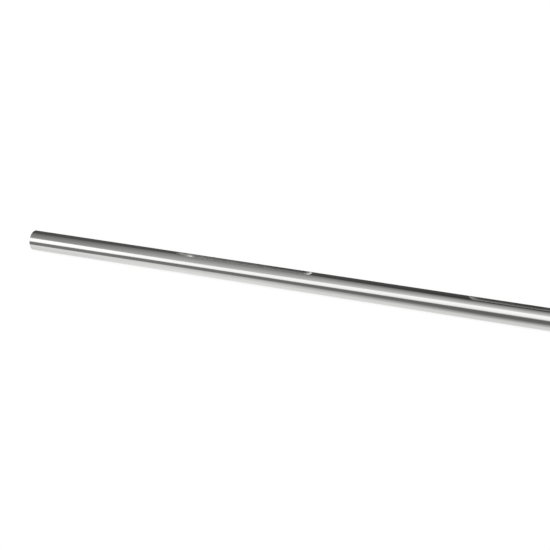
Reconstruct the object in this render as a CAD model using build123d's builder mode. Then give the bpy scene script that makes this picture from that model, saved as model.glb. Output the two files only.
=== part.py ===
"""Keyed fan shaft: a round ground steel bar with two long keyways cut along one side.

The bar lies along X with its keyways towards +Z and touches the floor, z = 0, along its lowest line.
All sizes are in millimetres.
"""

from math import sqrt
import os

from build123d import *

# Bar
SHAFT_DIAMETER = 25.4
SHAFT_LENGTH = 914.4
END_CHAMFER = 1.5

# Keyways, cut by a disc cutter that runs along the bar and leaves a curved rise at each end of the floor
KEYWAY_WIDTH = 6.35
KEYWAY_SIDE_DEPTH = 3.175
KEYWAY_FLOOR_LENGTH = 139.7
KEYWAY_CENTRE_FROM_END = 282.575
CUTTER_DIAMETER = 76.2

# Derived heights, measured from the floor on which the bar lies
SHAFT_RADIUS = SHAFT_DIAMETER / 2
AXIS_HEIGHT = SHAFT_RADIUS
KEYWAY_EDGE_HEIGHT = AXIS_HEIGHT + sqrt(SHAFT_RADIUS**2 - (KEYWAY_WIDTH / 2) ** 2)
KEYWAY_FLOOR_HEIGHT = KEYWAY_EDGE_HEIGHT - KEYWAY_SIDE_DEPTH
CUTTER_AXIS_HEIGHT = KEYWAY_FLOOR_HEIGHT + CUTTER_DIAMETER / 2

# Derived places along the bar, measured from its middle
END_POSITION = SHAFT_LENGTH / 2
KEYWAY_POSITION = END_POSITION - KEYWAY_CENTRE_FROM_END

with BuildPart() as fan_shaft:
    # Round bar, its middle above the origin
    with BuildSketch(Plane.YZ.offset(-END_POSITION)):
        with Locations((0, AXIS_HEIGHT)):
            Circle(SHAFT_RADIUS)
    extrude(amount=SHAFT_LENGTH)

    # Chamfer round each end face
    end_rims = fan_shaft.edges().filter_by(GeomType.CIRCLE)
    chamfer(end_rims, length=END_CHAMFER)

    # The two keyways: the space that the disc cutter sweeps along the bar
    with BuildSketch(Plane.XZ):
        with Locations(
            (-KEYWAY_POSITION, CUTTER_AXIS_HEIGHT),
            (KEYWAY_POSITION, CUTTER_AXIS_HEIGHT),
        ):
            SlotCenterToCenter(KEYWAY_FLOOR_LENGTH, CUTTER_DIAMETER)
    extrude(amount=KEYWAY_WIDTH / 2, both=True, mode=Mode.SUBTRACT)

fan_shaft.part.label = "fan_shaft"

os.makedirs("parts", exist_ok=True)
export_step(fan_shaft.part, "parts/fan_shaft.step")
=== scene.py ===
"""A keyed fan shaft: one ground steel bar with two long keyways, lying on a pale studio floor.

The bar's place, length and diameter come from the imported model. The mesh made here is a finer one of the
same shape, with its small edge breaks, and it carries three machined finishes.
"""

import logging
from dataclasses import dataclass, field, replace
from enum import Enum
from math import cos, pi, radians, sqrt
from typing import Callable, Iterable

import bpy
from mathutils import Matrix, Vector


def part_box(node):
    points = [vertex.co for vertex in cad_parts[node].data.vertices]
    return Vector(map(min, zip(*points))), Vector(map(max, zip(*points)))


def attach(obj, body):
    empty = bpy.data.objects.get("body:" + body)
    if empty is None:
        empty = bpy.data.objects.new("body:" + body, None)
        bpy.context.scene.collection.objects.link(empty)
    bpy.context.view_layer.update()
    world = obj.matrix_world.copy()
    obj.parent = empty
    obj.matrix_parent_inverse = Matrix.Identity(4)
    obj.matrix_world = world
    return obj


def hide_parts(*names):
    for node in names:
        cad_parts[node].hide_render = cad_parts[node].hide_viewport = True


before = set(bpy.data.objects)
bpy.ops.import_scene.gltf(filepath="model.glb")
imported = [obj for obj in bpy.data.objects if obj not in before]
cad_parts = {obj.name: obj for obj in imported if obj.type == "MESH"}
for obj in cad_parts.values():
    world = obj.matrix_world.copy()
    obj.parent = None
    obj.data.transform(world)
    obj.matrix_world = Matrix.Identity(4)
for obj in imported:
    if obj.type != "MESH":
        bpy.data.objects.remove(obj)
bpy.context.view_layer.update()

LOG = logging.getLogger("fan_shaft")
MM = 0.001
NODE = "fan_shaft"

SAME_POINT = MM / 1000
NEAR = MM / 100
UNDER_SURFACE = MM / 50
INSIDE_RIM = MM
HALF_TURN = 180.0

Socket = bpy.types.NodeSocket
Value = Socket | float
SocketPair = tuple[Socket, Socket]


class Finish(Enum):
    """The machined finishes of the bar, in the order of the piece's material slots."""

    GROUND = 0
    MILLED = 1
    TURNED = 2


def grey(shade: float) -> tuple[float, ...]:
    """Give a neutral colour of this shade, as red, green, blue and 1."""
    return (shade, shade, shade, 1)


def deselect_all() -> None:
    """Leave no object selected, so that an operator acts only on what is chosen next."""
    if bpy.context.mode != "OBJECT":
        bpy.ops.object.mode_set(mode="OBJECT")
    bpy.ops.object.select_all(action="DESELECT")


def make_active(piece: bpy.types.Object) -> None:
    """Select one object alone and make it the active one.

    Args:
        piece: The object that the next operators act on.
    """
    deselect_all()
    piece.select_set(True)
    bpy.context.view_layer.objects.active = piece


def settle(piece: bpy.types.Object) -> None:
    """Put an object's place, turn and size into its mesh.

    Args:
        piece: The object, which ends up at the origin, unturned and unscaled.
    """
    make_active(piece)
    bpy.ops.object.transform_apply(location=True, rotation=True, scale=True)


def select_edges(piece: bpy.types.Object, wanted: Callable[[Vector, Vector], bool]) -> int:
    """Select a mesh's edges by where their two ends are, and nothing else.

    Args:
        piece: The mesh object, in object mode.
        wanted: Says from an edge's two end points whether it is selected.

    Returns:
        The number of edges selected.
    """
    mesh = piece.data
    for element in (*mesh.vertices, *mesh.edges, *mesh.polygons):
        element.select = False
    count = 0
    for edge in mesh.edges:
        first, second = (mesh.vertices[index].co for index in edge.vertices)
        if wanted(first, second):
            edge.select = True
            count += 1
    return count


def bevel_selected(piece: bpy.types.Object, width: float, segments: int) -> None:
    """Bevel the selected edges of a mesh object.

    Args:
        piece: The mesh object, in object mode, with its edges selected.
        width: The bevel's offset from the edge, in metres.
        segments: The number of faces across the bevel.
    """
    bpy.ops.object.mode_set(mode="EDIT")
    bpy.ops.mesh.select_mode(type="EDGE")
    bpy.ops.mesh.bevel(
        offset=width, offset_type="OFFSET", segments=segments, affect="EDGES", clamp_overlap=True
    )
    bpy.ops.object.mode_set(mode="OBJECT")


@dataclass(frozen=True)
class Keyway:
    """One keyway's cut, as the disc cutter leaves it.

    Args:
        middle: Place of its middle along the bar, in metres.
        width: Its width.
        side_depth: Its depth at the side walls.
        floor_length: The length over which its floor is flat.
        cutter_radius: Radius of the disc cutter, and so of the rise at each end of the floor.
        corner_radius: Radius between the floor and the walls.
        corner_steps: The number of faces across that corner.
    """

    middle: float
    width: float = 6.35 * MM
    side_depth: float = 3.175 * MM
    floor_length: float = 139.7 * MM
    cutter_radius: float = 38.1 * MM
    corner_radius: float = 0.2 * MM
    corner_steps: int = 3

    def floor_height(self, bar_radius: float) -> float:
        """Return the height of the keyway's floor above the studio floor, for a bar of this radius."""
        return bar_radius + sqrt(bar_radius**2 - (self.width / 2) ** 2) - self.side_depth

    def cutter_height(self, bar_radius: float) -> float:
        """Return the height of the disc cutter's axis above the studio floor."""
        return self.floor_height(bar_radius) + self.cutter_radius

    def half_length(self, bar_radius: float) -> float:
        """Return half the keyway's length along its middle line, with the rise at its end."""
        depth = 2 * bar_radius - self.floor_height(bar_radius)
        return self.floor_length / 2 + sqrt(depth * (2 * self.cutter_radius - depth))

    def make_cutter(self, bar_radius: float, sides: int) -> bpy.types.Object:
        """Model the space that the disc cutter sweeps.

        Args:
            bar_radius: The bar's radius, in metres.
            sides: The number of flat faces round the cutter.

        Returns:
            The closed cutter mesh, in its place.
        """
        deselect_all()
        bpy.ops.mesh.primitive_cylinder_add(
            vertices=sides,
            radius=self.cutter_radius,
            depth=self.width,
            location=(0, 0, 0),
            rotation=(pi / 2, 0, 0),
        )
        cutter = bpy.context.object
        cutter.name = "keyway_cutter"
        settle(cutter)
        rim_radius = self.cutter_radius * cos(pi / sides) - INSIDE_RIM

        def on_rim(first: Vector, second: Vector) -> bool:
            """Tell an edge of one of the disc's two rims from the lines across its tread.

            Args:
                first: One end of the edge.
                second: Its other end.

            Returns:
                Whether the edge is part of a rim.
            """
            middle = (first + second) / 2
            within_side = abs(first.y - second.y) < self.width / 2
            return within_side and Vector((middle.x, middle.z)).length > rim_radius

        select_edges(cutter, on_rim)
        bevel_selected(cutter, self.corner_radius, self.corner_steps)
        self._stretch(cutter)
        cutter.location = (self.middle, 0, self.cutter_height(bar_radius))
        settle(cutter)
        return cutter

    def _stretch(self, cutter: bpy.types.Object) -> None:
        """Pull the two halves of the disc apart by the length of the flat floor.

        Args:
            cutter: The disc's mesh object, at the origin.
        """
        half_way = self.floor_length / 2
        bpy.ops.object.mode_set(mode="EDIT")
        bpy.ops.mesh.select_all(action="SELECT")
        bpy.ops.mesh.bisect(plane_co=(0, 0, 0), plane_no=(1, 0, 0))
        bpy.ops.object.mode_set(mode="OBJECT")
        for side in (-1, 1):
            for vertex in cutter.data.vertices:
                vertex.select = side * vertex.co.x > NEAR
            for edge in cutter.data.edges:
                edge.select = all(cutter.data.vertices[index].select for index in edge.vertices)
            for face in cutter.data.polygons:
                face.select = all(cutter.data.vertices[index].select for index in face.vertices)
            bpy.ops.object.mode_set(mode="EDIT")
            bpy.ops.mesh.select_mode(type="VERT")
            bpy.ops.transform.translate(value=(side * half_way, 0, 0))
            bpy.ops.object.mode_set(mode="OBJECT")


@dataclass
class FanShaft:
    """The bar with its keyways and chamfered ends.

    Args:
        length: The bar's length, in metres.
        radius: The bar's radius.
        chamfer: Size of the chamfer round each end face.
        keyway_from_end: Distance from an end face to the middle of the nearer keyway.
        edge_break: Width of the small rounding that deburring leaves along the keyways.
        edge_steps: The number of faces across that rounding.
        rim_break: Width of the rounding on the chamfers' rims.
        rim_steps: The number of faces across it.
        sides: The number of flat faces round the bar.
        cutter_sides: The number of flat faces round the disc cutter.
        smooth_angle: The angle in degrees up to which two faces meet smoothly.
        end_lean: The lean along the bar from which a face counts to the end or its chamfer.
    """

    length: float
    radius: float
    chamfer: float = 1.5 * MM
    keyway_from_end: float = 282.575 * MM
    edge_break: float = 0.34 * MM
    edge_steps: int = 4
    rim_break: float = 0.15 * MM
    rim_steps: int = 2
    sides: int = 176
    cutter_sides: int = 360
    smooth_angle: float = 18.0
    end_lean: float = 0.1
    keyways: list[Keyway] = field(init=False)

    def __post_init__(self) -> None:
        """Place the two keyways alike from the two ends."""
        middle = self.length / 2 - self.keyway_from_end
        self.keyways = [Keyway(middle=-middle), Keyway(middle=middle)]

    def build(self) -> bpy.types.Object:
        """Model the bar.

        Returns:
            The finished mesh object, at the origin.
        """
        bar = self._turn_bar()
        self._chamfer_ends(bar)
        for keyway in self.keyways:
            self._cut(bar, keyway)
        self._break_keyway_edges(bar)
        self._smooth(bar)
        return bar

    def _turn_bar(self) -> bpy.types.Object:
        """Add the plain round bar, lying along X on the floor.

        Returns:
            The bar's mesh object.
        """
        deselect_all()
        bpy.ops.mesh.primitive_cylinder_add(
            vertices=self.sides,
            radius=self.radius,
            depth=self.length,
            location=(0, 0, self.radius),
            rotation=(0, pi / 2, 0),
        )
        bar = bpy.context.object
        bar.name = "keyed_bar"
        bar.data.name = "keyed_bar"
        settle(bar)
        return bar

    def _chamfer_ends(self, bar: bpy.types.Object) -> None:
        """Cut the chamfer round each end face, then take the sharpness off its two rims.

        Args:
            bar: The bar's mesh object, still without keyways.
        """

        def across_end(first: Vector, second: Vector) -> bool:
            """Tell an edge that runs round the bar from one that runs along it."""
            return abs(first.x - second.x) < NEAR

        select_edges(bar, across_end)
        bevel_selected(bar, self.chamfer, segments=1)
        select_edges(bar, across_end)
        bevel_selected(bar, self.rim_break, self.rim_steps)

    def _cut(self, bar: bpy.types.Object, keyway: Keyway) -> None:
        """Cut one keyway out of the bar.

        Args:
            bar: The bar's mesh object.
            keyway: The keyway to cut.
        """
        cutter = keyway.make_cutter(self.radius, self.cutter_sides)
        make_active(bar)
        cut = bar.modifiers.new("keyway", "BOOLEAN")
        cut.operation = "DIFFERENCE"
        cut.solver = "EXACT"
        cut.object = cutter
        bpy.ops.object.modifier_apply(modifier=cut.name)
        bpy.data.objects.remove(cutter, do_unlink=True)

    def _break_keyway_edges(self, bar: bpy.types.Object) -> None:
        """Round off the long upper edges of the keyways.

        Args:
            bar: The bar's mesh object, with its keyways cut.
        """
        half_width = self.keyways[0].width / 2
        edge_height = self.radius + sqrt(self.radius**2 - half_width**2)

        def long_rim(first: Vector, second: Vector) -> bool:
            """Tell a long edge between a keyway's wall and the bar's round surface.

            Args:
                first: One end of the edge.
                second: Its other end.

            Returns:
                Whether the edge is one of those.
            """
            at_wall = all(abs(abs(end.y) - half_width) < NEAR for end in (first, second))
            at_rim = all(abs(end.z - edge_height) < NEAR for end in (first, second))
            return at_wall and at_rim and abs(first.x - second.x) > self.radius

        found = select_edges(bar, long_rim)
        LOG.info("keyway rims to break: %d", found)
        bevel_selected(bar, self.edge_break, self.edge_steps)

    def _smooth(self, bar: bpy.types.Object) -> None:
        """Merge what the cuts left double, smooth the round surfaces and keep edges and flat faces crisp.

        Args:
            bar: The bar's mesh object, with all its forms.
        """
        make_active(bar)
        bpy.ops.object.mode_set(mode="EDIT")
        bpy.ops.mesh.select_all(action="SELECT")
        bpy.ops.mesh.remove_doubles(threshold=SAME_POINT)
        bpy.ops.mesh.normals_make_consistent(inside=False)
        bpy.ops.object.mode_set(mode="OBJECT")
        bpy.ops.object.shade_smooth_by_angle(angle=radians(self.smooth_angle))
        flat_faces = bar.modifiers.new("flat_faces", "WEIGHTED_NORMAL")
        flat_faces.keep_sharp = True
        bpy.ops.object.modifier_apply(modifier=flat_faces.name)

    def finish_of(self, face: bpy.types.MeshPolygon) -> Finish:
        """Say which finish a face of the bar carries.

        Args:
            face: One face of the finished mesh.

        Returns:
            The finish of that face.
        """
        middle = face.center
        past_rim = abs(middle.x) > self.length / 2 - self.chamfer - self.rim_break
        if past_rim and abs(face.normal.x) > self.end_lean:
            return Finish.TURNED
        from_axis = Vector((middle.y, middle.z - self.radius)).length
        if from_axis < self.radius * cos(pi / self.sides) - UNDER_SURFACE:
            return Finish.MILLED
        return Finish.GROUND

    def dress(self, bar: bpy.types.Object, finishes: dict[Finish, bpy.types.Material]) -> None:
        """Give each face its finish.

        Args:
            bar: The finished mesh object.
            finishes: One material for each finish.
        """
        bar.data.materials.clear()
        for finish in Finish:
            bar.data.materials.append(finishes[finish])
        for face in bar.data.polygons:
            face.material_index = self.finish_of(face).value


class NodeTree:
    """A thin helper that adds and links the nodes of one shader tree."""

    def __init__(self, tree: bpy.types.NodeTree) -> None:
        """Keep the tree and remove whatever it starts with."""
        self.tree = tree
        tree.nodes.clear()

    def add(self, kind: str, **settings: object) -> bpy.types.Node:
        """Add a node and set its options.

        Args:
            kind: The node's type name.
            **settings: Option names and values.

        Returns:
            The new node.
        """
        node = self.tree.nodes.new(kind)
        for name, value in settings.items():
            setattr(node, name, value)
        return node

    def link(self, source: Socket, target: Socket) -> None:
        """Join an output socket to an input socket."""
        self.tree.links.new(source, target)

    def feed(self, value: Value, target: Socket) -> None:
        """Link a socket's value into an input, or set the input to a number.

        Args:
            value: The output socket or the number.
            target: The input socket.
        """
        if isinstance(value, Socket):
            self.link(value, target)
        else:
            target.default_value = value

    def math(self, operation: str, *values: Value) -> Socket:
        """Add a math node.

        Args:
            operation: The node's operation.
            *values: What goes into it, in the order of the node's inputs.

        Returns:
            The result's socket.
        """
        node = self.add("ShaderNodeMath", operation=operation)
        for socket, value in zip(node.inputs, values):
            self.feed(value, socket)
        return node.outputs[0]

    def mix(self, factor: Value, first: Value, second: Value) -> Socket:
        """Mix two numbers.

        Args:
            factor: Which of them the result is, from 0 for the first to 1 for the second.
            first: The first number.
            second: The second number.

        Returns:
            The result's socket.
        """
        node = self.add("ShaderNodeMix", data_type="FLOAT")
        for label, value in (("Factor", factor), ("A", first), ("B", second)):
            self.feed(value, node.inputs[label])
        return node.outputs["Result"]

    def map_range(
        self,
        value: Value,
        low: Value,
        high: Value,
        to_low: Value = 0.0,
        to_high: Value = 1.0,
        smooth: bool = False,
    ) -> Socket:
        """Stretch the range between two limits to another, and hold the result at the new range's ends.

        Args:
            value: The value to stretch.
            low: The old range's beginning.
            high: Its end.
            to_low: The new range's beginning.
            to_high: Its end.
            smooth: Whether the result eases in and out at the ends.

        Returns:
            The result's socket.
        """
        node = self.add("ShaderNodeMapRange", interpolation_type="SMOOTHSTEP" if smooth else "LINEAR")
        limits = {"Value": value, "From Min": low, "From Max": high, "To Min": to_low, "To Max": to_high}
        for label, given in limits.items():
            self.feed(given, node.inputs[label])
        return node.outputs[0]

    def noise(self, place: Socket, detail: float, scale: float = 1.0, grain: float = 0.55) -> Socket:
        """Add a noise.

        Args:
            place: The place to take it from.
            detail: How many finer layers it has.
            scale: Its rate.
            grain: The strength of each finer layer, as a share of the layer before.

        Returns:
            The noise's value.
        """
        node = self.add("ShaderNodeTexNoise")
        node.inputs["Scale"].default_value = scale
        node.inputs["Detail"].default_value = detail
        node.inputs["Roughness"].default_value = grain
        self.link(place, node.inputs["Vector"])
        return node.outputs[0]


def new_group(name: str, inputs: Iterable[tuple[str, float]], outputs: Iterable[str]) -> bpy.types.NodeTree:
    """Make an empty shader node group with number sockets.

    Args:
        name: The group's name.
        inputs: Names and first values of its inputs.
        outputs: Names of its outputs.

    Returns:
        The group's node tree.
    """
    group = bpy.data.node_groups.new(name, "ShaderNodeTree")
    for label, value in inputs:
        socket = group.interface.new_socket(label, in_out="INPUT", socket_type="NodeSocketFloat")
        socket.default_value = value
    for label in outputs:
        group.interface.new_socket(label, in_out="OUTPUT", socket_type="NodeSocketFloat")
    return group


def place_in_sizes(nodes: NodeTree, size_mm: Socket, along: Socket) -> Socket:
    """Give the place on the bar in pattern sizes, stretched along the bar.

    Args:
        nodes: The group's nodes.
        size_mm: Size of the pattern round the bar, in millimetres.
        along: The pattern's rate along the bar, as a share of its rate round the bar.

    Returns:
        The scaled place.
    """
    place = nodes.add("ShaderNodeTexCoord")
    split = nodes.add("ShaderNodeSeparateXYZ")
    nodes.link(place.outputs["Object"], split.inputs[0])
    rate_round = nodes.math("DIVIDE", 1 / MM, size_mm)
    rate_along = nodes.math("MULTIPLY", rate_round, along)
    join = nodes.add("ShaderNodeCombineXYZ")
    for axis, rate in zip("XYZ", (rate_along, rate_round, rate_round)):
        nodes.link(nodes.math("MULTIPLY", split.outputs[axis], rate), join.inputs[axis])
    return join.outputs[0]


class SurfaceGroups:
    """The effects that several finishes share, each built once as a node group.

    Attributes:
        ALONG_SHARE: The patterns' rate along the bar, as a share of their rate round it.
        CLOUD_RANGE: The noise values between which the clouds rise from none to full.
        FLECK_RANGE: The noise values between which the flecks do.
        FLECK_RATE: How much finer the flecks are than the clouds.
        SCUFF_RANGE: The noise values between which the scuffs rise from none to full.
        SCUFF_RATE: How much finer the scuffs are along the bar, across it and upwards.
        TONE_RANGE: The noise values between which a tool line goes from dark to light.
    """

    ALONG_SHARE = 0.3
    CLOUD_RANGE = (0.30, 0.70)
    FLECK_RANGE = (0.62, 0.78)
    FLECK_RATE = 9.0
    SCUFF_RANGE = (0.56, 0.74)
    SCUFF_RATE = (1.5, 16.0, 16.0)
    TONE_RANGE = (0.35, 0.65)

    def __init__(self) -> None:
        """Build the groups."""
        self.cloud = self._build_cloud()
        self.lines = self._build_lines()
        self.wave = self._build_wave()

    def _build_cloud(self) -> bpy.types.NodeTree:
        """Build the soft clouding, the dull flecks and the faint lengthwise scuffs of handled steel.

        Returns:
            The group's node tree.
        """
        group = new_group(
            "handling_cloud",
            [("Size mm", 30.0), ("Along", self.ALONG_SHARE)],
            ["Cloud", "Fleck", "Scuff"],
        )
        nodes = NodeTree(group)
        given = nodes.add("NodeGroupInput")
        result = nodes.add("NodeGroupOutput")
        place = place_in_sizes(nodes, given.outputs["Size mm"], given.outputs["Along"])
        thin = nodes.add("ShaderNodeVectorMath", operation="MULTIPLY")
        thin.inputs[1].default_value = self.SCUFF_RATE
        nodes.link(place, thin.inputs[0])
        patterns = {
            "Cloud": (nodes.noise(place, detail=4.0), self.CLOUD_RANGE),
            "Fleck": (nodes.noise(place, detail=2.0, scale=self.FLECK_RATE), self.FLECK_RANGE),
            "Scuff": (nodes.noise(thin.outputs[0], detail=2.0), self.SCUFF_RANGE),
        }
        for label, (value, limits) in patterns.items():
            nodes.link(nodes.map_range(value, *limits, smooth=True), result.inputs[label])
        return group

    def _build_lines(self) -> bpy.types.NodeTree:
        """Build fine irregular tool lines that follow a given coordinate.

        Returns:
            The group's node tree.
        """
        group = new_group(
            "tool_lines",
            [("Coordinate mm", 0.0), ("Across mm", 0.0), ("Pitch mm", 0.3), ("Length mm", 40.0)],
            ["Height", "Tone"],
        )
        nodes = NodeTree(group)
        given = nodes.add("NodeGroupInput")
        result = nodes.add("NodeGroupOutput")
        join = nodes.add("ShaderNodeCombineXYZ")
        fine = nodes.math("DIVIDE", given.outputs["Coordinate mm"], given.outputs["Pitch mm"])
        coarse = nodes.math("DIVIDE", given.outputs["Across mm"], given.outputs["Length mm"])
        nodes.link(fine, join.inputs["X"])
        nodes.link(coarse, join.inputs["Y"])
        grain = nodes.noise(join.outputs[0], detail=3.0)
        nodes.link(grain, result.inputs["Height"])
        nodes.link(nodes.map_range(grain, *self.TONE_RANGE, smooth=True), result.inputs["Tone"])
        return group

    def _build_wave(self) -> bpy.types.NodeTree:
        """Build the slight waviness of a machined surface.

        Returns:
            The group's node tree.
        """
        group = new_group("surface_wave", [("Size mm", 8.0), ("Along", self.ALONG_SHARE)], ["Height"])
        nodes = NodeTree(group)
        given = nodes.add("NodeGroupInput")
        result = nodes.add("NodeGroupOutput")
        place = place_in_sizes(nodes, given.outputs["Size mm"], given.outputs["Along"])
        nodes.link(nodes.noise(place, detail=1.0), result.inputs["Height"])
        return group


@dataclass(frozen=True)
class SteelLook:
    """What a finish looks like from place to place, once its changes by place are added: real dulling and
    smoothing, and in the keyways painted highlights and painted light.

    Args:
        shade: The colour's socket.
        roughness: The roughness's socket.
        line_share: How much of the tool lines' height is left.
    """

    shade: Socket
    roughness: Socket
    line_share: Value = 1.0


@dataclass(frozen=True)
class SteelFinish:
    """One machined finish of the same steel.

    Args:
        name: The material's name.
        dark: The darkest shade that the finish varies to.
        light: The lightest shade.
        smooth: The lowest roughness.
        rough: The highest roughness.
        pitch_mm: Spacing of the tool lines.
        line_length_mm: How far a tool line runs before it fades into the next.
        line_depth_mm: Height of the tool lines.
        cloud_mm: Size of the handling clouds.
        wave_mm: Size of the waviness round the bar.
        wave_depth_mm: Height of the waviness.
        tint: Share of red, green and blue that the steel sends back.
        cloud_share: The clouds' part in the change of shade; the tool lines have the rest.
        dull_share: How much of that change also dulls the steel.
    """

    name: str
    dark: float
    light: float
    smooth: float
    rough: float
    pitch_mm: float
    line_length_mm: float
    line_depth_mm: float
    cloud_mm: float
    wave_mm: float
    wave_depth_mm: float
    tint: tuple[float, float, float] = (1.0, 0.995, 0.98)
    cloud_share: float = 0.65
    dull_share: float = 0.60

    def coordinate(self, nodes: NodeTree, split: bpy.types.Node, shaft: FanShaft) -> SocketPair:
        """Give the coordinate that the tool lines follow, and the one that runs along them.

        Args:
            nodes: The material's nodes.
            split: The node that gives the place on the bar as X, Y and Z in millimetres.
            shaft: The bar.

        Returns:
            The two coordinates' sockets, in millimetres.
        """
        raise NotImplementedError

    def steel_colour(self, shade: float) -> tuple[float, ...]:
        """Give the steel's colour at a shade, as red, green, blue and 1."""
        return (*(shade * channel for channel in self.tint), 1)

    def build(self, groups: SurfaceGroups, shaft: FanShaft) -> bpy.types.Material:
        """Build the material.

        Args:
            groups: The shared effects.
            shaft: The bar whose axis and keyways the tool lines follow.

        Returns:
            The finished material.
        """
        material = bpy.data.materials.new(self.name)
        material.use_nodes = True
        nodes = NodeTree(material.node_tree)
        output = nodes.add("ShaderNodeOutputMaterial")
        steel = nodes.add("ShaderNodeBsdfPrincipled")
        steel.inputs["Metallic"].default_value = 1.0
        nodes.link(steel.outputs[0], output.inputs["Surface"])

        place = nodes.add("ShaderNodeTexCoord")
        scale = nodes.add("ShaderNodeVectorMath", operation="SCALE")
        scale.inputs["Scale"].default_value = 1 / MM
        nodes.link(place.outputs["Object"], scale.inputs[0])
        split = nodes.add("ShaderNodeSeparateXYZ")
        nodes.link(scale.outputs[0], split.inputs[0])

        lines = self._add_lines(nodes, groups, split, shaft)
        cloud = nodes.add("ShaderNodeGroup", node_tree=groups.cloud)
        cloud.inputs["Size mm"].default_value = self.cloud_mm
        steel_look = self.vary_by_place(nodes, split, shaft, self._add_shade(nodes, lines, cloud))
        nodes.link(steel_look.shade, steel.inputs["Base Color"])
        nodes.link(steel_look.roughness, steel.inputs["Roughness"])
        line_height = nodes.math("MULTIPLY", lines.outputs["Height"], steel_look.line_share)
        self._add_relief(nodes, steel, line_height, groups)
        return material

    def vary_by_place(self, nodes: NodeTree, split: bpy.types.Node, shaft: FanShaft, plain: SteelLook) -> SteelLook:
        """Change the finish by where on the bar it is. This finish stays plain."""
        return plain

    def _add_lines(
        self, nodes: NodeTree, groups: SurfaceGroups, split: bpy.types.Node, shaft: FanShaft
    ) -> bpy.types.Node:
        """Add the tool lines along the finish's own coordinate.

        Args:
            nodes: The material's nodes.
            groups: The shared effects.
            split: The node that gives the place on the bar as X, Y and Z in millimetres.
            shaft: The bar.

        Returns:
            The tool lines' group node.
        """
        follow, run = self.coordinate(nodes, split, shaft)
        lines = nodes.add("ShaderNodeGroup", node_tree=groups.lines)
        lines.inputs["Pitch mm"].default_value = self.pitch_mm
        lines.inputs["Length mm"].default_value = self.line_length_mm
        nodes.link(follow, lines.inputs["Coordinate mm"])
        nodes.link(run, lines.inputs["Across mm"])
        return lines

    def _add_shade(self, nodes: NodeTree, lines: bpy.types.Node, cloud: bpy.types.Node) -> SteelLook:
        """Vary the steel's shade and roughness by its clouds, flecks, scuffs and tool lines.

        Args:
            nodes: The material's nodes.
            lines: The tool lines' group node.
            cloud: The handling marks' group node.

        Returns:
            The finish, the same all over the bar.
        """
        clouded = nodes.math("MULTIPLY", cloud.outputs["Cloud"], self.cloud_share)
        mixed = nodes.math("MULTIPLY_ADD", lines.outputs["Tone"], 1 - self.cloud_share, clouded)
        shade = nodes.add("ShaderNodeMix", data_type="RGBA")
        shade.inputs["A"].default_value = self.steel_colour(self.dark)
        shade.inputs["B"].default_value = self.steel_colour(self.light)
        nodes.link(mixed, shade.inputs["Factor"])

        marks = nodes.math("MAXIMUM", cloud.outputs["Fleck"], cloud.outputs["Scuff"])
        dulled = nodes.math("MAXIMUM", nodes.math("MULTIPLY", mixed, self.dull_share), marks)
        roughness = nodes.map_range(dulled, 0.0, 1.0, self.smooth, self.rough)
        return SteelLook(shade.outputs["Result"], roughness)

    def _add_relief(
        self, nodes: NodeTree, steel: bpy.types.Node, line_height: Socket, groups: SurfaceGroups
    ) -> None:
        """Raise the tool lines and the waviness.

        Args:
            nodes: The material's nodes.
            steel: The material's shader node.
            line_height: The tool lines' height, from 0 to 1.
            groups: The shared effects.
        """
        wave = nodes.add("ShaderNodeGroup", node_tree=groups.wave)
        wave.inputs["Size mm"].default_value = self.wave_mm
        wavy = nodes.math("MULTIPLY", wave.outputs["Height"], self.wave_depth_mm)
        height = nodes.math("MULTIPLY_ADD", line_height, self.line_depth_mm, wavy)
        bump = nodes.add("ShaderNodeBump")
        bump.inputs["Distance"].default_value = MM
        bump.inputs["Strength"].default_value = 1.0
        nodes.link(height, bump.inputs["Height"])
        nodes.link(bump.outputs[0], steel.inputs["Normal"])


class GroundSteel(SteelFinish):
    """The round surface: fine lines round the bar, as centreless grinding and polishing leave them."""

    def coordinate(self, nodes: NodeTree, split: bpy.types.Node, shaft: FanShaft) -> SocketPair:
        """Follow the bar's length, and run round it.

        Args:
            nodes: The material's nodes.
            split: The node that gives the place on the bar as X, Y and Z in millimetres.
            shaft: The bar.

        Returns:
            The two coordinates' sockets, in millimetres.
        """
        height = nodes.math("SUBTRACT", split.outputs["Z"], shaft.radius / MM)
        turn = nodes.math("ARCTAN2", height, split.outputs["Y"])
        return split.outputs["X"], nodes.math("MULTIPLY", turn, shaft.radius / MM)


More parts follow.
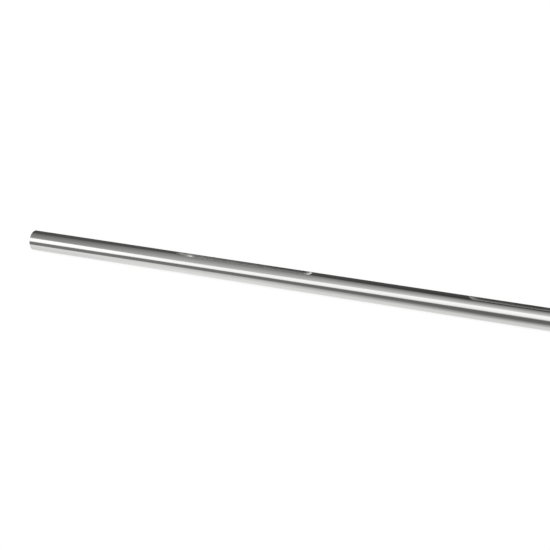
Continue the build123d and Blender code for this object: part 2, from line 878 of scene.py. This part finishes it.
@dataclass(frozen=True)
class MilledSteel(SteelFinish):
    """The keyways: arcs on the walls and lines across the floor, as the disc cutter's teeth leave them.

    Args:
        tip_highlight_shade: Shade of the keyways' inner ends, brighter than the rest as a painted highlight
            where the ends catch light.
        polished_rough: Roughness of those ends.
        polish_and_highlight_from: Distance from a keyway's middle at which the smoothing and the painted
            highlight begin, in millimetres.
        polish_and_highlight_full: Distance from its middle at which they are complete.
        right_polish_and_highlight: How much of the smoothing and the painted highlight the right keyway has.
        dull_extra: What the left keyway gains in roughness towards its outer end.
        painted_light_extra: Share by which its shade is painted lighter towards that end, for the brighter
            light there.
        painted_glint_shade: Shade of the painted glint near that end, a bright spot where that end catches
            light.
        painted_glint_rough: Roughness of the glint.
        painted_glint_place: Distance from the left keyway's middle to the middle of the glint, in
            millimetres.
        painted_glint_reach: How far along the keyway the glint fades out, in millimetres.
    """

    # The inner ends' brighter shade is a painted highlight; their lower roughness is real smoothing.
    tip_highlight_shade: float = 0.65
    polished_rough: float = 0.10
    polish_and_highlight_from: float = 71.0
    polish_and_highlight_full: float = 84.0
    right_polish_and_highlight: float = 0.2
    dull_extra: float = 0.36
    # Painted light: the left keyway's shade grows lighter towards its outer end.
    painted_light_extra: float = 0.36
    # A painted glint near the left keyway's outer end.
    painted_glint_shade: float = 0.85
    painted_glint_rough: float = 0.30
    painted_glint_place: float = 69.0
    painted_glint_reach: float = 6.5

    def vary_by_place(self, nodes: NodeTree, split: bpy.types.Node, shaft: FanShaft, plain: SteelLook) -> SteelLook:
        """Smooth the inner ends and paint a highlight on them, dull the left keyway and paint it lighter
        towards its outer end, and paint a glint near that end.

        Args:
            nodes: The material's nodes.
            split: The node that gives the place on the bar as X, Y and Z in millimetres.
            shaft: The bar with the keyways.
            plain: The finish before these changes.

        Returns:
            The changed finish, with its painted highlights and painted light.
        """
        keyway = shaft.keyways[1]
        middle = keyway.middle / MM
        half_length = keyway.half_length(shaft.radius) / MM
        along = split.outputs["X"]
        outward = nodes.map_range(along, half_length - middle, -half_length - middle)
        # Painted light: the left keyway's shade is made lighter towards its outer end, where it catches more
        # light; its extra roughness is real.
        painted_lighter = nodes.add("ShaderNodeVectorMath", operation="SCALE")
        nodes.link(plain.shade, painted_lighter.inputs[0])
        nodes.link(nodes.math("MULTIPLY_ADD", outward, self.painted_light_extra, 1.0), painted_lighter.inputs["Scale"])
        dulled = nodes.math("MULTIPLY_ADD", outward, self.dull_extra, plain.roughness)
        steel_look = SteelLook(painted_lighter.outputs[0], dulled)

        # A painted glint: a short band near the left keyway's outer end gets a brighter shade.
        from_painted_glint = nodes.math("ABSOLUTE", nodes.math("ADD", along, middle + self.painted_glint_place))
        painted_glint = nodes.map_range(from_painted_glint, self.painted_glint_reach, 0.0, smooth=True)
        steel_look = self._blend(nodes, steel_look, painted_glint, self.painted_glint_shade, self.painted_glint_rough)

        # Painted highlight: the inner ends get a brighter shade and a lower roughness, the right keyway less
        # of both.
        inward = nodes.math("SUBTRACT", middle, nodes.math("ABSOLUTE", along))
        at_tip = nodes.map_range(inward, self.polish_and_highlight_from, self.polish_and_highlight_full, smooth=True)
        at_right = nodes.math("GREATER_THAN", along, 0.0)
        polish_and_highlight = nodes.math("MULTIPLY", at_tip, nodes.mix(at_right, 1.0, self.right_polish_and_highlight))
        steel_look = self._blend(nodes, steel_look, polish_and_highlight, self.tip_highlight_shade, self.polished_rough)
        return replace(steel_look, line_share=nodes.math("SUBTRACT", 1.0, polish_and_highlight))

    def _blend(
        self, nodes: NodeTree, steel_look: SteelLook, amount: Socket, shade: float, rough: float
    ) -> SteelLook:
        """Cover a finish by an even one.

        Args:
            nodes: The material's nodes.
            steel_look: The finish so far.
            amount: How much of it is covered, from 0 to 1.
            shade: The even finish's shade.
            rough: The even finish's roughness.

        Returns:
            The finish with the even one over it.
        """
        cover = nodes.add("ShaderNodeMix", data_type="RGBA")
        nodes.link(amount, cover.inputs["Factor"])
        nodes.link(steel_look.shade, cover.inputs["A"])
        cover.inputs["B"].default_value = self.steel_colour(shade)
        return SteelLook(cover.outputs["Result"], nodes.mix(amount, steel_look.roughness, rough))

    def coordinate(self, nodes: NodeTree, split: bpy.types.Node, shaft: FanShaft) -> SocketPair:
        """Follow the cutter's feed, and run along the path of its teeth.

        Args:
            nodes: The material's nodes.
            split: The node that gives the place on the bar as X, Y and Z in millimetres.
            shaft: The bar with the keyways.

        Returns:
            The two coordinates' sockets, in millimetres.
        """
        keyway = shaft.keyways[0]
        radius = keyway.cutter_radius / MM
        drop = nodes.math("SUBTRACT", keyway.cutter_height(shaft.radius) / MM, split.outputs["Z"])
        square = nodes.math("SUBTRACT", radius**2, nodes.math("POWER", drop, 2))
        reach = nodes.math("SQRT", nodes.math("MAXIMUM", square, 0))
        follow = nodes.math("SUBTRACT", split.outputs["X"], reach)
        return follow, nodes.math("ADD", split.outputs["Y"], drop)


class TurnedSteel(SteelFinish):
    """The end faces and chamfers: rings round the axis, as a facing tool leaves them."""

    def coordinate(self, nodes: NodeTree, split: bpy.types.Node, shaft: FanShaft) -> SocketPair:
        """Follow the distance from the axis, and run round it.

        Args:
            nodes: The material's nodes.
            split: The node that gives the place on the bar as X, Y and Z in millimetres.
            shaft: The bar.

        Returns:
            The distance's socket in millimetres, and the turn's in radians.
        """
        height = nodes.math("SUBTRACT", split.outputs["Z"], shaft.radius / MM)
        across = split.outputs["Y"]
        squares = nodes.math("ADD", nodes.math("POWER", across, 2), nodes.math("POWER", height, 2))
        return nodes.math("SQRT", squares), nodes.math("ARCTAN2", height, across)


GROUND_STEEL = GroundSteel(
    name="ground_steel",
    dark=0.54,
    light=0.60,
    smooth=0.09,
    rough=0.17,
    pitch_mm=0.35,
    line_length_mm=30.0,
    line_depth_mm=0.0006,
    cloud_mm=45.0,
    wave_mm=6.0,
    wave_depth_mm=0.012,
)
# Its shade is set darker than the ground steel's, standing in for the shade in the keyways: painted shade.
MILLED_STEEL = MilledSteel(
    name="milled_steel",
    dark=0.34,
    light=0.42,
    smooth=0.25,
    rough=0.39,
    pitch_mm=0.8,
    line_length_mm=5.0,
    line_depth_mm=0.004,
    cloud_mm=8.0,
    wave_mm=5.0,
    wave_depth_mm=0.01,
)
# Its shade is set lighter than the ground steel's, so that the ends come out bright: a painted sheen.
TURNED_STEEL = TurnedSteel(
    name="turned_steel",
    dark=0.70,
    light=0.80,
    smooth=0.16,
    rough=0.28,
    pitch_mm=0.25,
    line_length_mm=6.0,
    line_depth_mm=0.003,
    cloud_mm=12.0,
    wave_mm=6.0,
    wave_depth_mm=0.005,
)


@dataclass(frozen=True)
class Along:
    """A value that changes along the studio, evenly from left to middle and from middle to right.

    Args:
        left: The value at the studio's left.
        middle: The value at its middle.
        right: The value at its right.
    """

    left: float
    middle: float
    right: float


def steady(value: float) -> Along:
    """Give a value that is the same all along the studio."""
    return Along(value, value, value)


@dataclass(frozen=True)
class LightBand:
    """One band of the light round the bar, which covers the band before it from its own beginning on.

    Angles are in degrees round the bar: 0 towards the camera's side, 90 overhead, 180 behind the bar and -90
    straight down. A level of 1 is white.

    Args:
        name: What the band stands for.
        start: The angle at which it begins.
        blur: How far its beginning is spread to either side.
        near: Its level where it begins.
        far: Its level where the next band begins.
    """

    name: str
    start: Along
    blur: Along
    near: Along
    far: Along


LIGHT_BANDS = (
    LightBand(
        name="pale floor",
        start=steady(-148),
        blur=steady(8),
        near=Along(1.02, 1.22, 1.05),
        far=Along(1.07, 1.26, 1.06),
    ),
    LightBand(
        name="floor further off",
        start=steady(-62),
        blur=steady(4),
        near=Along(1.07, 1.26, 1.06),
        far=Along(1.25, 0.98, 0.15),
    ),
    LightBand(
        name="unlit room",
        start=Along(-27.5, -21, -14.5),
        blur=Along(1, 3, 8),
        near=Along(0.29, 0.29, 0.22),
        far=Along(0.28, 0.27, 0.17),
    ),
    LightBand(
        name="soft box",
        start=Along(11.5, 15, 18),
        blur=Along(1.5, 2, 7),
        near=Along(1.65, 1.60, 1.35),
        far=Along(1.90, 1.70, 1.75),
    ),
    LightBand(
        name="pale ceiling",
        start=Along(50, 47, 58.5),
        blur=Along(2, 2, 5),
        near=Along(0.49, 0.79, 1.06),
        far=Along(0.20, 0.27, 0.25),
    ),
    LightBand(
        name="unlit back",
        start=Along(120, 128, 107),
        blur=Along(5, 4, 8),
        near=Along(0.11, 0.11, 0.06),
        far=Along(0.12, 0.12, 0.10),
    ),
)


class StudioLength:
    """Gives the value of an Along for each ray, by how far the ray leans along the bar."""

    def __init__(self, nodes: NodeTree, lean: Socket, marks: Along) -> None:
        """Add what every value shares.

        Args:
            nodes: The world's nodes.
            lean: The ray's share along the bar, from -1 to 1.
            marks: The leans at the studio's left, middle and right.
        """
        self.nodes = nodes
        self.to_middle = nodes.map_range(lean, marks.left, marks.middle)
        self.to_right = nodes.map_range(lean, marks.middle, marks.right)

    def value(self, given: Along) -> Socket:
        """Give a value's socket."""
        left_part = self.nodes.mix(self.to_middle, given.left, given.middle)
        return self.nodes.mix(self.to_right, left_part, given.right)


@dataclass(frozen=True)
class Studio:
    """The pale floor and the light round the bar.

    Args:
        floor_size: Width of the square floor, in metres.
        floor_shade: Shade of the floor under plain light.
        floor_lift: What is added to the floor where the camera sees it, so that it comes out white.
        marks: The leans of a ray along the bar at the studio's left, middle and right.
        plain_level: The level straight past the bar's two ends.
        plain_share: How much of that level covers the bands there.
        plain_from: The share along the bar from which a ray begins to look past the ends.
        plain_full: The share along the bar from which it looks wholly past them.
    """

    floor_size: float = 60.0
    floor_shade: float = 0.45
    floor_lift: float = 0.74
    marks: Along = Along(-0.48, -0.36, 0.0)
    plain_level: float = 1.10
    plain_share: float = 0.50
    plain_from: float = 0.72
    plain_full: float = 0.86

    def build_floor(self) -> bpy.types.Object:
        """Lay the pale floor, which keeps the bar's soft shadow.

        Returns:
            The floor object.
        """
        deselect_all()
        bpy.ops.mesh.primitive_plane_add(size=self.floor_size, location=(0, 0, 0))
        floor = bpy.context.object
        floor.name = "studio_floor"
        material = bpy.data.materials.new("pale_floor")
        material.use_nodes = True
        nodes = NodeTree(material.node_tree)
        output = nodes.add("ShaderNodeOutputMaterial")
        plain = nodes.add("ShaderNodeBsdfDiffuse")
        plain.inputs["Color"].default_value = grey(self.floor_shade)
        seen = nodes.add("ShaderNodeLightPath").outputs["Is Camera Ray"]
        lift = nodes.add("ShaderNodeEmission")
        nodes.link(nodes.math("MULTIPLY", seen, self.floor_lift), lift.inputs["Strength"])
        both = nodes.add("ShaderNodeAddShader")
        nodes.link(plain.outputs[0], both.inputs[0])
        nodes.link(lift.outputs[0], both.inputs[1])
        nodes.link(both.outputs[0], output.inputs["Surface"])
        floor.data.materials.append(material)
        floor.visible_glossy = False
        return floor

    def _add_level(self, nodes: NodeTree) -> Socket:
        """Add the brightness of every direction.

        Args:
            nodes: The world's nodes.

        Returns:
            The socket that gives it, with 1 for white.
        """
        place = nodes.add("ShaderNodeTexCoord")
        split = nodes.add("ShaderNodeSeparateXYZ")
        nodes.link(place.outputs["Generated"], split.inputs[0])
        lean = split.outputs["X"]
        towards_camera = nodes.math("MULTIPLY", split.outputs["Y"], -1.0)
        turn = nodes.math("ARCTAN2", split.outputs["Z"], towards_camera)
        angle = nodes.math("MULTIPLY", turn, HALF_TURN / pi)

        length = StudioLength(nodes, lean, self.marks)
        starts = [length.value(band.start) for band in LIGHT_BANDS]
        ends = [*starts[1:], HALF_TURN]
        level = length.value(LIGHT_BANDS[-1].far)
        for band, start, end in zip(LIGHT_BANDS, starts, ends):
            blur = length.value(band.blur)
            first = nodes.math("SUBTRACT", start, blur)
            last = nodes.math("ADD", start, blur)
            begun = nodes.map_range(angle, first, last, smooth=True)
            own = nodes.map_range(angle, start, end, length.value(band.near), length.value(band.far))
            level = nodes.mix(begun, level, own)
            level.node.label = band.name
        reach = nodes.math("ABSOLUTE", lean)
        past_end = nodes.map_range(reach, self.plain_from, self.plain_full, smooth=True)
        plain_part = nodes.math("MULTIPLY", past_end, self.plain_share)
        return nodes.mix(plain_part, level, self.plain_level)

    def build_light(self) -> bpy.types.World:
        """Surround the bar with a broad soft light on the camera's side, dim sides and a bright floor.

        Returns:
            The world.
        """
        world = bpy.data.worlds.new("studio_light")
        bpy.context.scene.world = world
        world.use_nodes = True
        nodes = NodeTree(world.node_tree)
        output = nodes.add("ShaderNodeOutputWorld")
        studio = nodes.add("ShaderNodeBackground")
        studio.inputs["Color"].default_value = grey(1)
        nodes.link(self._add_level(nodes), studio.inputs["Strength"])
        white = nodes.add("ShaderNodeBackground")
        white.inputs["Color"].default_value = grey(1)
        seen = nodes.add("ShaderNodeLightPath").outputs["Is Camera Ray"]
        choose = nodes.add("ShaderNodeMixShader")
        nodes.link(seen, choose.inputs[0])
        nodes.link(studio.outputs[0], choose.inputs[1])
        nodes.link(white.outputs[0], choose.inputs[2])
        nodes.link(choose.outputs[0], output.inputs["Surface"])
        return world


@dataclass(frozen=True)
class ViewPoint:
    """The camera's place, turn and lens: in front of the bar, above it and towards its near end.

    Args:
        place: The camera's place, in metres.
        down: How far it looks down from level, in degrees.
        left: How far it is turned to the left of straight ahead, in degrees.
        lens_mm: Focal length.
        sensor_mm: Width of the sensor.
    """

    place: tuple[float, float, float] = (0.10717, -0.80110, 0.51118)
    down: float = 30.627
    left: float = 16.793
    lens_mm: float = 53.67
    sensor_mm: float = 36.0

    def build(self) -> bpy.types.Object:
        """Set up the camera.

        Returns:
            The camera object, made the scene's camera.
        """
        lens = bpy.data.cameras.new("camera")
        lens.sensor_width = self.sensor_mm
        lens.lens = self.lens_mm
        camera = bpy.data.objects.new("camera", lens)
        camera.location = self.place
        camera.rotation_euler = (radians(HALF_TURN / 2 - self.down), 0, radians(self.left))
        bpy.context.scene.collection.objects.link(camera)
        bpy.context.scene.camera = camera
        return camera


def main() -> None:
    """Build the bar, dress it and set it in the studio."""
    logging.basicConfig(level=logging.INFO, format="%(name)s: %(message)s")
    bpy.context.scene.view_settings.view_transform = "Standard"

    low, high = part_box(NODE)
    shaft = FanShaft(length=high[0] - low[0], radius=(high[1] - low[1]) / 2)
    bar = shaft.build()
    LOG.info("bar: %d faces, %.1f mm long", len(bar.data.polygons), shaft.length / MM)
    groups = SurfaceGroups()
    finishes = {
        Finish.GROUND: GROUND_STEEL.build(groups, shaft),
        Finish.MILLED: MILLED_STEEL.build(groups, shaft),
        Finish.TURNED: TURNED_STEEL.build(groups, shaft),
    }
    shaft.dress(bar, finishes)
    LOG.info("finishes: %s", ", ".join(finish.name.lower() for finish in finishes))
    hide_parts(NODE)
    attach(bar, "root")

    studio = Studio()
    studio.build_floor()
    studio.build_light()
    LOG.info("studio: floor and light ready")
    ViewPoint().build()
    LOG.info("camera ready")


if __name__ == "__main__":
    main()
